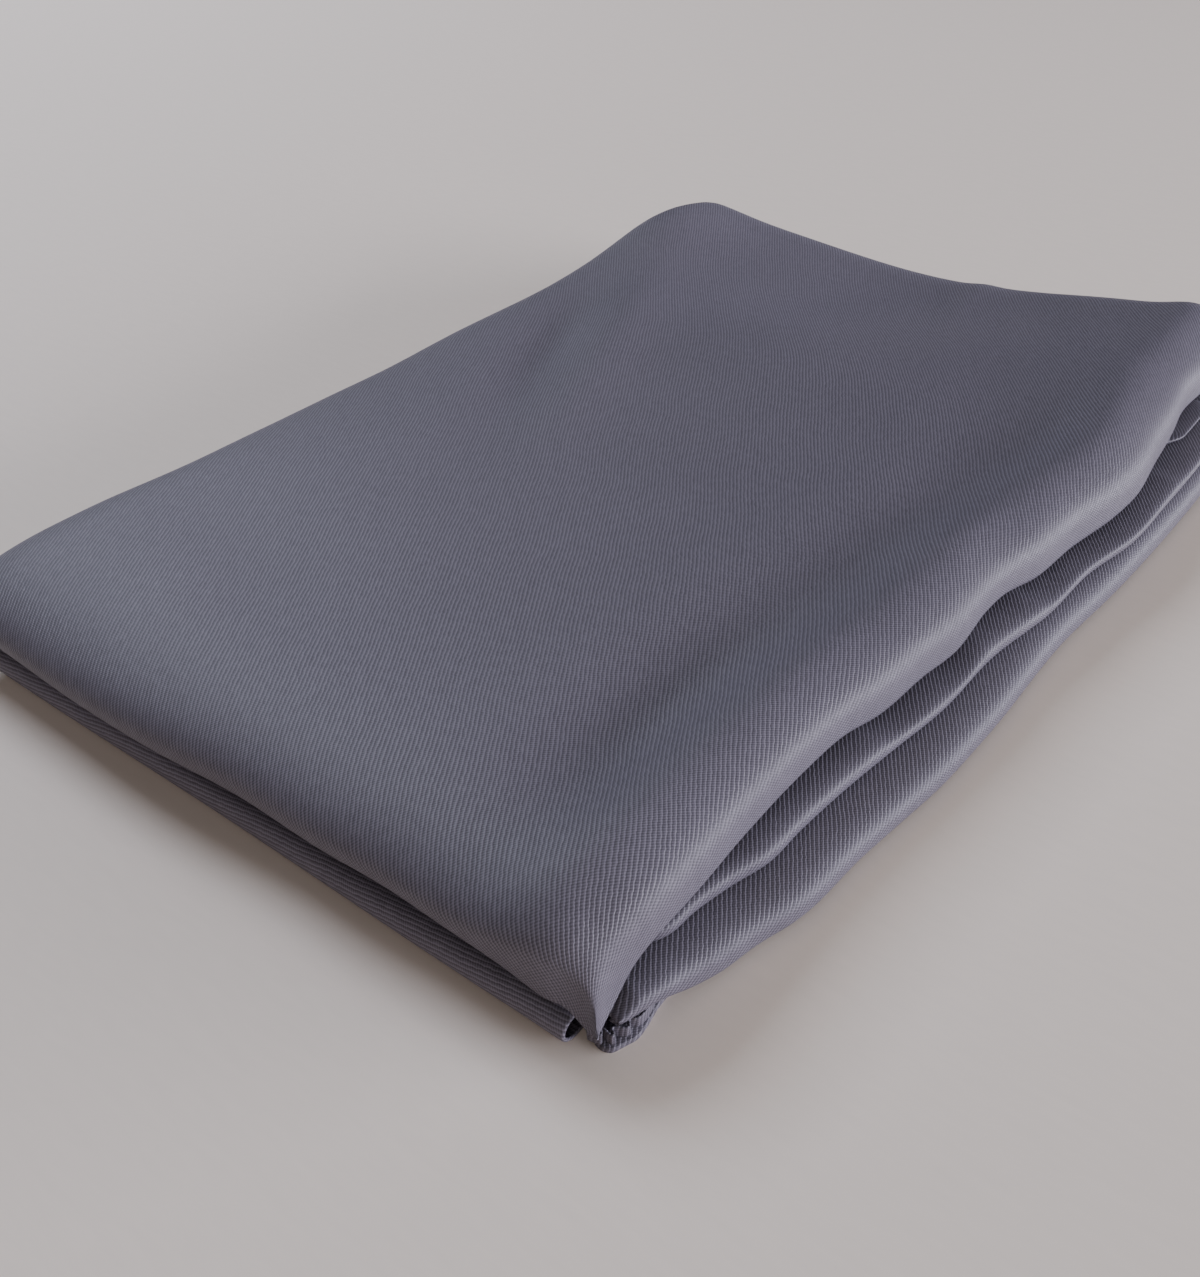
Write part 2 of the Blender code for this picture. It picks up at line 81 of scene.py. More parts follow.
# The top sheet's corners, where the folds are pinched flat
CORNER_FLARE = -0.35
CORNER_SHARE = 0.07

# How far the top sheet's rim lies below its edge, on the near and the far side
NEAR_RIM_DROP = 1.7
FAR_RIM_DROP = 2.5

# How softly the top sheet turns from its shoulders down to its sides: 1 is round, more is fuller
NEAR_END_SOFTNESS = 1.05
NEAR_SIDE_SOFTNESS = 1.9

# Shape of the droop at the edges of the folds: 1 and 1 is round, less is fuller
DROOP_REACH = 0.9
DROOP_FALL = 0.55

# Where each fold runs along the pack, and how thick it is at its start and beyond
MIDDLE_RUN = (13.0, 268.0)
MIDDLE_THICKNESS = (2.0, 3.5)
UNDER_RUN = (3.2, 272.0)
UNDER_THICKNESS = 1.2
TONGUE_RUN = (221.0, 252.0)

# The near side's edges: distance along, how far out each edge stands and its level
TOP_EDGE = [
    # along, out, level
    (0.0, 0.0, 6.0),
    (4.0, 0.3, 8.2),
    (9.0, 0.0, 11.0),
    (15.0, -0.7, 13.2),
    (25.0, -1.0, 14.2),
    (40.0, -0.6, 15.0),
    (60.0, -1.0, 16.0),
    (71.0, -1.8, 16.2),
    (84.0, -3.8, 14.4),
    (98.0, -5.0, 14.5),
    (110.0, -6.4, 14.0),
    (124.0, -6.2, 16.0),
    (131.0, -6.6, 16.2),
    (145.0, -8.9, 14.2),
    (160.0, -10.2, 14.0),
    (178.0, -13.2, 14.0),
    (190.0, -14.0, 14.0),
    (207.0, -12.4, 14.6),
    (222.0, -11.2, 16.0),
    (234.0, -9.5, 16.5),
    (253.0, -9.8, 16.0),
    (264.0, -9.2, 15.2),
    (276.0, -8.5, 12.5),
    (285.0, -7.2, 7.0),
    (292.0, -6.0, 3.2),
]
MIDDLE_EDGE = [
    # along, out
    (13.0, 5.0),
    (18.0, 1.2),
    (27.0, -0.2),
    (35.0, -1.9),
    (43.0, -4.1),
    (53.0, -4.5),
    (68.0, -5.8),
    (81.0, -7.5),
    (98.0, -9.9),
    (120.0, -10.6),
    (142.0, -14.0),
    (161.0, -14.9),
    (180.0, -18.3),
    (200.0, -18.8),
    (235.0, -18.6),
    (256.0, -16.5),
    (268.0, -10.0),
]
UNDER_EDGE = [
    # along, out, level
    (1.5, -0.8, 4.9),
    (4.0, -1.9, 4.9),
    (7.0, -2.8, 4.9),
    (10.0, -3.6, 4.8),
    (13.0, -4.4, 4.2),
    (17.0, -5.4, 2.8),
    (23.0, -7.2, 2.0),
    (32.0, -9.2, 2.0),
    (40.0, -11.6, 2.0),
    (61.0, -13.6, 2.0),
    (72.0, -15.0, 2.0),
    (84.0, -16.5, 2.0),
    (105.0, -17.5, 2.0),
    (144.0, -17.6, 2.0),
    (168.0, -19.6, 2.0),
    (199.0, -21.0, 2.0),
    (235.0, -21.0, 2.0),
    (258.0, -19.0, 2.0),
    (272.0, -12.0, 2.0),
]

# The far side's edges
FAR_EDGE = [
    # along, top sheet out, top sheet level, middle sheet out, under sheet out
    (0.0, 180.0, 11.5, 175.0, 176.0),
    (12.0, 180.2, 12.8, 178.0, 180.0),
    (30.0, 180.0, 14.4, 181.0, 183.5),
    (62.0, 178.6, 13.8, 182.0, 185.0),
    (95.0, 179.0, 14.8, 181.6, 184.5),
    (128.0, 178.4, 13.9, 182.6, 186.0),
    (160.0, 178.8, 14.9, 181.4, 185.2),
    (196.0, 178.4, 13.8, 182.2, 186.0),
    (230.0, 180.6, 14.6, 182.4, 185.4),
    (256.0, 181.4, 14.0, 180.5, 183.0),
    (278.0, 178.4, 10.5, 177.5, 180.0),
    (292.0, 174.5, 4.8, 174.0, 178.0),
]

# How far the top sheet stands out round the near end
NEAR_END = [
    # across, out
    (0.0, -0.6),
    (3.5, -1.0),
    (9.0, -2.9),
    (18.0, -4.2),
    (28.0, -4.7),
    (43.0, -4.5),
    (58.0, -5.1),
    (80.0, -4.9),
    (106.0, -6.6),
    (128.0, -6.9),
    (156.0, -6.0),
    (180.0, -5.6),
]

# Soft hollows and rises of the top sheet
TOP_FORMS = [
    # along, across, rise, half length, half width, turn in degrees
    (276.0, 84.0, -7.4, 52.0, 54.0, 0.0),
    (257.0, 169.0, 5.6, 32.0, 18.0, 8.0),
    (126.0, 172.0, -1.3, 66.0, 20.0, 0.0),
    (288.0, 12.0, 1.4, 60.0, 34.0, 0.0),
    (176.0, 131.0, 1.6, 50.0, 9.0, 22.0),
    (160.0, 143.0, -2.4, 42.0, 9.0, 22.0),
    (104.0, 88.0, -1.6, 80.0, 42.0, 0.0),
    (270.0, 66.0, 1.0, 26.0, 5.0, 8.0),
    (40.0, 126.0, -0.6, 30.0, 16.0, 60.0),
    (172.0, 44.0, -1.0, 70.0, 22.0, -8.0),
    (194.0, 86.0, 1.2, 26.0, 46.0, 0.0),
    (232.0, 16.0, 2.2, 42.0, 34.0, 0.0),
    (238.0, 104.0, -1.4, 30.0, 30.0, 0.0),
    (58.0, 26.0, -1.8, 42.0, 12.0, 0.0),
    (200.0, 30.0, -1.0, 40.0, 11.0, 8.0),
]
EDGE_RIDGE = 2.0
EDGE_RIDGE_WIDTH = 8.0
INNER_TROUGH = -2.0
INNER_TROUGH_IN = 27.0
INNER_TROUGH_WIDTH = 12.0

# Smaller creases of the top sheet, each a soft trough or ridge
CREASES = [
    # along, across, rise, half length, half width, turn in degrees
    (93.0, 8.0, -0.5, 9.0, 7.0, 20.0),
    (128.0, 3.0, 0.45, 11.0, 6.0, 10.0),
    (152.0, 2.0, -0.5, 12.0, 6.0, 12.0),
    (188.0, -4.0, 0.4, 14.0, 6.0, -6.0),
    (232.0, 2.0, -0.5, 13.0, 7.0, 14.0),
    (60.0, 7.0, 0.35, 14.0, 7.0, 0.0),
    (30.0, 150.0, 0.3, 30.0, 9.0, 70.0),
    (226.0, 172.0, -0.5, 16.0, 8.0, -14.0),
    (92.0, 172.0, -0.45, 14.0, 8.0, 10.0),
    (150.0, 171.0, 0.35, 18.0, 7.0, -8.0),
    (252.0, 36.0, -0.4, 26.0, 7.0, 24.0),
]

# Plan of the lower layers' pleats at the nearest corner
CORNER_PLEATS = [
    # along, across
    (2.2, 3.6),
    (-0.2, 2.7),
    (-0.1, 1.6),
    (0.3, 0.0),
    (1.1, 0.1),
    (1.7, 0.9),
    (1.2, -1.3),
    (2.1, -1.8),
    (2.8, -0.3),
    (3.8, -2.3),
    (4.9, -2.7),
    (5.7, -1.5),
    (6.6, -2.9),
    (9.5, -2.9),
    (12.5, -2.0),
    (12.5, 1.0),
    (6.0, 2.6),
]
PLEAT_TOP = 3.6

# Plan of the sheet that lies on the table
BASE_CORNERS = [
    # along, across
    (0.5, 1.8),
    (0.2, -0.3),
    (0.9, -1.8),
    (3.1, -2.6),
    (5.6, -3.6),
    (9.9, -3.0),
    (13.0, -2.3),
    (70.0, -2.0),
    (280.0, -2.0),
    (285.0, 2.0),
    (285.0, 168.0),
    (281.0, 174.0),
    (8.0, 174.0),
    (4.3, 168.0),
    (4.3, 4.0),
]


# The weave: how far ribs wander and how long a loop is, as shares of the rib pitch
RIB_SWAY = 0.9
RIB_FINE_SWAY = 0.45
LOOP_LENGTH = 0.62

# What the other parts of the weave's height add to the ribs, whose own height is 1
BETWEEN_PART = 0.16
LOOP_PART = 0.30
FUZZ_PART = 0.35
PATCH_PART = 0.5

GROOVE_ROUGHNESS = 0.6
RIB_ROUGHNESS = 0.45
CLOTH_GLOSS = 0.38

# Where the lower pad's turn of cloth starts on the near side, and the roll of its hem
LOWER_TURN_START = 4.8
HEM_RADIUS = 0.5
HEM_HEIGHT = 0.9

# Outer edge of the sheet on the table, from below upwards
BASE_RINGS = [
    # inset, level
    (0.0, 0.0),
    (0.0, 0.35),
    (0.0, 0.7),
    (0.12, 0.92),
    (0.3, 1.0),
]

# Soft lights, which all face the pack's middle from the same distance
LIGHT_DISTANCE = 2.0
LIGHTS = [
    # name, azimuth and height in degrees, sides in metres, watts, colour
    ("window_right", 296.0, 5.0, (2.2, 0.9), 115.0, (0.88, 0.89, 1.0)),
    ("window_back", 80.0, 44.0, (0.8, 0.8), 29.0, (0.76, 0.83, 1.0)),
    ("room_top", 60.0, 62.0, (1.4, 1.4), 4.5, (1.0, 0.88, 0.72)),
    ("room_left", 200.0, 50.0, (1.4, 1.4), 3.0, (1.0, 0.96, 0.93)),
    ("warm_fill", 208.0, 14.0, (1.4, 1.4), 4.5, (1.0, 0.84, 0.76)),
]

# The camera's place over the table in metres, and its turn from +X, its tilt and its roll in degrees
CAMERA_PLACE = (-0.2379, -0.1634)
CAMERA_TURN = 39.29
CAMERA_TILT = -36.69
CAMERA_ROLL = -2.10


def curve_through(table, column):
    """A smooth function of the distance along, through one column of a table."""
    along = np.array([row[0] for row in table])
    value = np.array([row[column] for row in table])
    slope = np.gradient(value, along)

    def read(x):
        x = np.clip(x, along[0], along[-1])
        i = np.clip(np.searchsorted(along, x) - 1, 0, len(along) - 2)
        step = along[i + 1] - along[i]
        t = (x - along[i]) / step
        rise = 3 * t**2 - 2 * t**3
        start = (t**3 - 2 * t**2 + t) * step * slope[i]
        end = (t**3 - t**2) * step * slope[i + 1]
        return float(value[i] * (1 - rise) + value[i + 1] * rise + start + end)

    return read


top_out = curve_through(TOP_EDGE, 1)
top_edge_level = curve_through(TOP_EDGE, 2)
middle_out = curve_through(MIDDLE_EDGE, 1)
under_out = curve_through(UNDER_EDGE, 1)
under_edge_level = curve_through(UNDER_EDGE, 2)
far_out = curve_through(FAR_EDGE, 1)
far_edge_level = curve_through(FAR_EDGE, 2)
far_middle_out = curve_through(FAR_EDGE, 3)
far_under_out = curve_through(FAR_EDGE, 4)
near_end_out = curve_through(NEAR_END, 1)


def top_rim_level(x):
    """Level of the top sheet's lowest line along the near side."""
    return top_edge_level(x) - NEAR_RIM_DROP


def ease(t):
    """0 up to t = 0, 1 from t = 1, and a smooth rise between."""
    t = min(max(t, 0.0), 1.0)
    return t * t * (3 - 2 * t)


def bell(distance):
    """1 at no distance, and a smooth fall to nothing."""
    return math.exp(-(distance**2))


def top_height(x, y):
    """Level of the top sheet's upper face."""
    level = TOP_LEVEL
    for along, across, rise, half_length, half_width, turn in TOP_FORMS + CREASES:
        angle = math.radians(turn)
        run = (x - along) * math.cos(angle) + (y - across) * math.sin(angle)
        side = (y - across) * math.cos(angle) - (x - along) * math.sin(angle)
        level += rise * bell(run / half_length) * bell(side / half_width)
    inward = y - top_out(x)
    level += EDGE_RIDGE * bell((inward - NEAR_SIDE_SHOULDER) / EDGE_RIDGE_WIDTH)
    fade = ease((x - 5.0) / 40.0) * ease((235.0 - x) / 60.0)
    return level + INNER_TROUGH * fade * bell((inward - INNER_TROUGH_IN) / INNER_TROUGH_WIDTH)


def end_profile(tuck_angles, shoulder_angles, widest_height, softness=1.0):
    """Steps round an end of the pack: (share of the tuck, share of the way in to the shoulder, height)."""
    lowest = math.sin(math.radians(tuck_angles[0]))
    steps = []
    for angle in tuck_angles:
        turn = math.radians(angle)
        steps.append((1 - math.cos(turn), 0.0, widest_height * (1 - math.sin(turn) / lowest)))
    for angle in shoulder_angles:
        turn = math.radians(angle)
        height = widest_height + (1 - widest_height) * math.sin(turn)
        steps.append((0.0, (1 - math.cos(turn)) ** softness, height))
    return steps


def top_sheet_grid():
    """Grid of the top sheet's outer face: a row for each step along, a column for each step across."""
    near_end = end_profile(
        np.linspace(-80, -6, 11), np.linspace(0, 90, 22), NEAR_END_WIDEST, NEAR_END_SOFTNESS
    )
    back_end = end_profile(np.linspace(-66, -6, 9), np.linspace(0, 84, 16), BACK_END_WIDEST)
    near_side = end_profile(
        np.linspace(-78, -12, 7), np.linspace(0, 90, 24), NEAR_SIDE_WIDEST, NEAR_SIDE_SOFTNESS
    )
    far_side = end_profile(np.linspace(-78, -12, 6), np.linspace(0, 90, 14), FAR_SIDE_WIDEST)
    along_steps = [("near", *step) for step in near_end]
    along_steps += [("top", x, 0.0, 1.0) for x in np.linspace(NEAR_SHOULDER, BACK_SHOULDER, 124)[1:]]
    along_steps += [("back", *step) for step in reversed(back_end)]
    across_steps = [("near", *step) for step in near_side]
    across_steps += [("inside", share**1.1, 0.0, 1.0) for share in np.linspace(0.0, 1.0, 66)[1:-1]]
    across_steps += [("far", *step) for step in reversed(far_side)]

    inside_width = FAR_SIDE - FAR_SIDE_SHOULDER - NEAR_SIDE_SHOULDER
    rows = []
    for end, end_tuck, end_reach, end_height in along_steps:
        row = []
        for side, side_tuck, side_reach, side_height in across_steps:
            if side == "near":
                across = NEAR_SIDE_SHOULDER * side_reach
            elif side == "inside":
                across = NEAR_SIDE_SHOULDER + inside_width * side_tuck
            else:
                across = FAR_SIDE - FAR_SIDE_SHOULDER * side_reach
            # The folds are pinched flat at the corners, where their rims stand out a little in place of in
            pinch = ease((across - 2.0) / 34.0) * ease((FAR_SIDE - 2.0 - across) / 20.0)
            if end == "near":
                widest = near_end_out(across)
                tuck = CORNER_FLARE + (NEAR_END_TUCK - CORNER_FLARE) * pinch
                x = widest + tuck * end_tuck + (NEAR_SHOULDER - widest) * end_reach
            elif end == "top":
                x = end_tuck
            else:
                tuck = CORNER_FLARE + (BACK_END_TUCK - CORNER_FLARE) * pinch
                x = BACK_END - tuck * end_tuck - (BACK_END - BACK_SHOULDER) * end_reach
            near_y = top_out(x)
            far_y = far_out(x)
            fade = -0.12 + 1.12 * ease((x - 3.0) / 15.0) * ease((281.0 - x) / 12.0)
            if side == "near":
                y = near_y + NEAR_TUCK * fade * side_tuck + NEAR_SIDE_SHOULDER * side_reach
            elif side == "inside":
                start = near_y + NEAR_SIDE_SHOULDER
                y = start + (far_y - FAR_SIDE_SHOULDER - start) * side_tuck
            else:
                y = far_y - FAR_TUCK * fade * side_tuck - FAR_SIDE_SHOULDER * side_reach
            near_low = top_rim_level(x)
            far_low = far_edge_level(x) - FAR_RIM_DROP
            blend = 6.5 + 38.5 * ease((x - 2.0) / 20.0)
            low = near_low + (far_low - near_low) * ease((y - near_y) / blend)
            share = end_height * (CORNER_SHARE + (1 - CORNER_SHARE) * side_height)
            row.append((x, y, low + (top_height(x, y) - low) * share))
        rows.append(row)
    return np.array(rows)


def in_metres(points):
    """Points of the plan as they stand in the frame."""
    return (np.asarray(points, float) - PACK_CENTRE) * 0.001


def run_lengths(grid, axis, middle):
    """Distance along the cloth in one direction of a grid, counted from its middle line."""
    steps = np.linalg.norm(np.diff(grid, axis=axis), axis=2)
    total = np.cumsum(steps, axis=axis)
    total = np.concatenate([np.zeros_like(np.take(total, [0], axis=axis)), total], axis=axis)
    return total - np.take(total, [middle], axis=axis)


def cloth_coordinates(grid, middle_row, middle_column):
    """Where each point of a grid lies on the flat cloth, in millimetres."""
    u = run_lengths(grid, 0, middle_row) + grid[middle_row, middle_column, 0]
    v = run_lengths(grid, 1, middle_column) + grid[middle_row, middle_column, 1]
    return np.stack([u, v], axis=-1)


def new_object(name, points, faces, uvs, material):
    """A smooth piece with its own UV map, from points in millimetres and one UV for each point."""
    mesh = bpy.data.meshes.new(name)
    mesh.from_pydata([tuple(p) for p in in_metres(points)], [], faces)
    mesh.update()
    layer = mesh.uv_layers.new(name="cloth")
    corner = np.zeros(len(mesh.loops), int)
    mesh.loops.foreach_get("vertex_index", corner)
    layer.data.foreach_set("uv", (np.asarray(uvs)[corner] * 0.001).astype(np.float32).ravel())
    piece = bpy.data.objects.new(name, mesh)
    bpy.context.scene.collection.objects.link(piece)
    mesh.materials.append(material)
    mesh.shade_smooth()
    return piece


def faces_between_rows(rows, count, closed, turned=False):
    """Faces between each row of points and the next; a turned face shows its other side."""
    faces = []
    for i in range(rows - 1):
        for j in range(count if closed else count - 1):
            here = i * count + j
            after = i * count + (j + 1) % count
            face = (here, here + count, after + count, after)
            faces.append((face[0], face[3], face[2], face[1]) if turned else face)
    return faces


def cloth_from_grid(name, grid, uvs, wall, material, closed=False):
    """A thin sheet of cloth on a grid of points, whose wall grows inwards."""
    faces = faces_between_rows(*grid.shape[:2], closed)
    piece = new_object(name, grid.reshape(-1, 3), faces, uvs.reshape(-1, 2), material)
    solidify = piece.modifiers.new("wall", "SOLIDIFY")
    solidify.thickness = wall
    solidify.offset = -1.0
    solidify.use_even_offset = False
    return piece


def drooped_edge(start, end, steps):
    """From a level start, a round droop that ends upright."""
    points = []
    for k in range(1, steps + 1):
        turn = math.pi / 2 * k / steps
        y = start[0] + (end[0] - start[0]) * math.sin(turn) ** DROOP_REACH
        z = end[1] + (start[1] - end[1]) * math.cos(turn) ** DROOP_FALL
        points.append((y, z))
    return points


def folded_section(near, far, level, thickness, near_droop, far_droop, inside, under_run):
    """Section of a sheet that lies flat, droops at both edges and turns back in under itself."""
    tip = min(thickness * 0.46, 0.7)

    def edge(end, droop, way):
        upper = drooped_edge(droop, (end[0], end[1] + tip), 14)
        turned = []
        for k in range(1, 7):
            turn = math.pi / 2 * k / 6
            y = end[0] - way * tip * (1 - math.cos(turn))
            turned.append((y, end[1] + tip - 2 * tip * math.sin(turn)))
        back = []
        low = end[1] - tip
        for k in range(1, 9):
            y = turned[-1][0] - way * under_run * k / 8
            share = min(abs(y - end[0]) / max(abs(droop[0] - end[0]), 0.1), 1.0)
            above = end[1] + tip + (droop[1] - end[1] - tip) * math.sqrt(max(0.0, 1 - (1 - share) ** 2))
            back.append((y, max(low, above - thickness)))
        return upper + turned + back

    near_side = edge(near, near_droop, -1)
    far_side = edge(far, far_droop, 1)
    return near_side[::-1] + [near_droop] + [(y, level) for y in inside[::-1]] + [far_droop] + far_side


def middle_sheet_grid():
    """The fold that shows as the middle band."""
    rows = []
    thin, thick = MIDDLE_THICKNESS
    for x in np.linspace(*MIDDLE_RUN, 150):
        thickness = thin + (thick - thin) * ease((x - MIDDLE_RUN[0]) / 20.0)
        near = (middle_out(x), 9.1)
        far = (far_middle_out(x), 7.6)
        highest = 12.6 - 1.0 * ease((x - 203.0) / 12.0)
        start_level = min(max(top_rim_level(x) - 0.9, 10.6), highest)
        near_droop = (max(top_out(x) + 4.0, near[0] + 2.5), start_level)
        far_droop = (164.0, 11.3)
        inside = (150.0, 110.0, 60.0, 20.0)
        section = folded_section(near, far, MIDDLE_LEVEL, thickness, near_droop, far_droop, inside, 14.0)
        rows.append([(x, y, z) for y, z in section])
    return np.array(rows)


def under_sheet_grid():
    """The sheet under it, which droops to the table as the lowest band."""
    rows = []
    for x in [*np.linspace(UNDER_RUN[0], 32.0, 40), *np.linspace(32.0, UNDER_RUN[1], 130)[1:]]:
        near = (under_out(x), under_edge_level(x) - 0.3)
        furthest = 3.1 + 1.9 * ease((x - 4.0) / 6.0)
        start = max(near[0] + 4.5, min(middle_out(x) + 7.0, furthest))
        level = min(UNDER_LEVEL, top_rim_level(x) - 0.75)
        inside = (150.0, 110.0, 60.0, 14.0, max(4.3, start + 1.2))
        far = (far_under_out(x), 1.2)
        droops = ((start, level), (168.0, UNDER_LEVEL))
        section = folded_section(near, far, UNDER_LEVEL, UNDER_THICKNESS, *droops, inside, 1.5)
        rows.append([(x, y, z) for y, z in section])
    return np.array(rows)


def end_tongue_grid():
    """The short extra fold between the top sheet and the middle sheet."""
    rows = []
    for x in np.linspace(*TONGUE_RUN, 40):
        emerge = ease((x - TONGUE_RUN[0]) / 10.0) * ease((TONGUE_RUN[1] + 2.0 - x) / 8.0)
        out = -9.0 - 3.4 * emerge
        level = min(top_rim_level(x) - 0.9, 13.5)
        section = [(-4.4, level), (-6.4, level)] + drooped_edge((-6.4, level), (out, level - 0.5), 8)
        section += [(out + 0.2, level - 0.9), (out + 0.6, level - 1.05), (-4.4, level - 1.1)]
        rows.append([(x, y, z) for y, z in section[::-1]])
    return np.array(rows)


def lower_turn_grid():
    """The lower pad's turn of cloth at the near end, from the table up and back over the pad."""
    radius = LOWER_LEVEL / 2
    turns = [(3.0, -90.0), (1.5, -90.0)] + [(0.0, angle) for angle in np.linspace(-90, 90, 25)]
    turns += [(run, 90.0) for run in np.linspace(4.0, 280.0, 80)]
    hem = [math.radians(angle) for angle in (170, 140, 110, 80, 50, 25)]
    hem_end = LOWER_TURN_START + HEM_RADIUS
    across = [(hem_end - HEM_RADIUS * math.sin(a), 0.5 - 0.5 * math.cos(a)) for a in hem]
    across += [(y, 0.0) for y in np.linspace(hem_end, 168.0, 74)]
    rows = []
    for run, angle in turns:
        turn = math.radians(angle)
        row = []
        for y, tuck in across:
            swell = 0.25 * math.sin(y / 19.0) * math.cos(turn)
            press = 0.9 - 0.9 * ease((y - LOWER_TURN_START) / 9.0)
            reach = radius - HEM_HEIGHT * tuck
            level = radius + reach * math.sin(turn)
            level -= press * level / LOWER_LEVEL
            row.append((run - (reach + swell) * math.cos(turn), y, level))
        rows.append(row)
    return np.array(rows)


def rounded_outline(corners, rounds):
    """An outline whose corners are cut round, by the same share each time."""
    points = np.array(corners)
    for _ in range(rounds):
        after = np.roll(points, -1, axis=0)
        pairs = [points * 0.78 + after * 0.22, points * 0.22 + after * 0.78]
        points = np.stack(pairs, axis=1).reshape(-1, 2)
    return points


def skin_level(x, y):
    """Level of the top sheet's outer face over a point of the plan."""

    def round_up(distance, reach, start):
        side = 1 - min(max(distance / reach, 0.0), 1.0)
        return start + (1 - start) * math.sqrt(1 - side * side)

    near_y = top_out(x)
    share = round_up(x - NEAR_END_OUT, NEAR_SHOULDER - NEAR_END_OUT, NEAR_END_WIDEST)
    share *= round_up(BACK_END - x, BACK_END - BACK_SHOULDER, BACK_END_WIDEST)
    share *= round_up(y - near_y, NEAR_SIDE_SHOULDER, NEAR_SIDE_WIDEST)
    share *= round_up(far_out(x) - y, FAR_SIDE_SHOULDER, FAR_SIDE_WIDEST)
    low = top_rim_level(x)
    return low + (top_height(x, y) - low) * share


def layered_ring(x, near_y, far_y, upper_levels, lower_level, plies, depth):
    """One ring of hidden layers: plain above and below, with a soft fold for each ply at the sides."""
    steps = 8 * plies

    def side(y, way, top):
        points = []
        for k in range(steps + 1):
            share = k / steps
            bulge = depth * abs(math.sin(math.pi * plies * share)) ** 0.6
            points.append((y + way * bulge, top + (lower_level - top) * share))
        return points

    near_side = side(near_y, -1, upper_levels[-1][1])
    far_side = side(far_y, 1, upper_levels[0][1])
    upper = far_side[: steps // 2][::-1] + upper_levels[1:-1] + near_side[: steps // 2]
    lower = near_side[steps // 2 :] + [(y, lower_level) for y, _ in upper_levels[-2:0:-1]]
    return [(x, y, z) for y, z in upper + lower + far_side[steps // 2 :][::-1]]


def closed_stack(name, rings, material):
    """A closed solid of hidden layers through rings of points."""
    rings = np.array(rings)
    stations, around = rings.shape[:2]
    faces = [tuple(range(around))[::-1]]
    faces += faces_between_rows(stations, around, closed=True, turned=True)
    faces.append(tuple(range((stations - 1) * around, stations * around)))
    uvs = rings.reshape(-1, 3)[:, [0, 1]] + rings.reshape(-1, 3)[:, [2, 2]]
    piece = new_object(name, rings.reshape(-1, 3), faces, uvs, material)
    piece.data.set_sharp_from_angle(angle=math.radians(50))
    return piece


def add_node(tree, kind, at, **values):
    node = tree.nodes.new(kind)
    node.location = at
    for key, value in values.items():
        setattr(node, key, value)
    return node


def math_node(tree, operation, at, *inputs):
    """A Math node whose inputs are numbers or other nodes' outputs."""
    node = add_node(tree, "ShaderNodeMath", at, operation=operation)
    for place, value in enumerate(inputs):
        if isinstance(value, (int, float)):
            node.inputs[place].default_value = value
        else:
            tree.links.new(value, node.inputs[place])
    return node.outputs[0]


def noise(tree, at, vector, scale, detail=2.0):
    node = add_node(tree, "ShaderNodeTexNoise", at)
    node.inputs["Scale"].default_value = scale
    node.inputs["Detail"].default_value = detail
    tree.links.new(vector, node.inputs["Vector"])
    return node.outputs["Fac"]


def map_range(tree, at, value, low, high, start=0.0, end=1.0):
    """The value's run from start to end, spread from low to high."""
    node = add_node(tree, "ShaderNodeMapRange", at)
    for socket, number in (("From Min", start), ("From Max", end), ("To Min", low), ("To Max", high)):
        node.inputs[socket].default_value = number
    tree.links.new(value, node.inputs["Value"])
    return node.outputs[0]


def grey(tree, at, value):
    """A grey of the given value."""
    node = add_node(tree, "ShaderNodeCombineColor", at)
    for socket in node.inputs:
        tree.links.new(value, socket)
    return node.outputs[0]


def shaded(colour, shade):
    return tuple(part * shade for part in colour[:3]) + (1.0,)


def mixed(tree, at, blend, factor, first, second):
    """A colour mix of the given kind."""
    node = add_node(tree, "ShaderNodeMix", at, data_type="RGBA", blend_type=blend)
    for socket, value in ((node.inputs[0], factor), (node.inputs[6], first), (node.inputs[7], second)):
        if isinstance(value, (int, float, tuple)):
            socket.default_value = value
        else:
            tree.links.new(value, socket)
    return node.outputs[2]


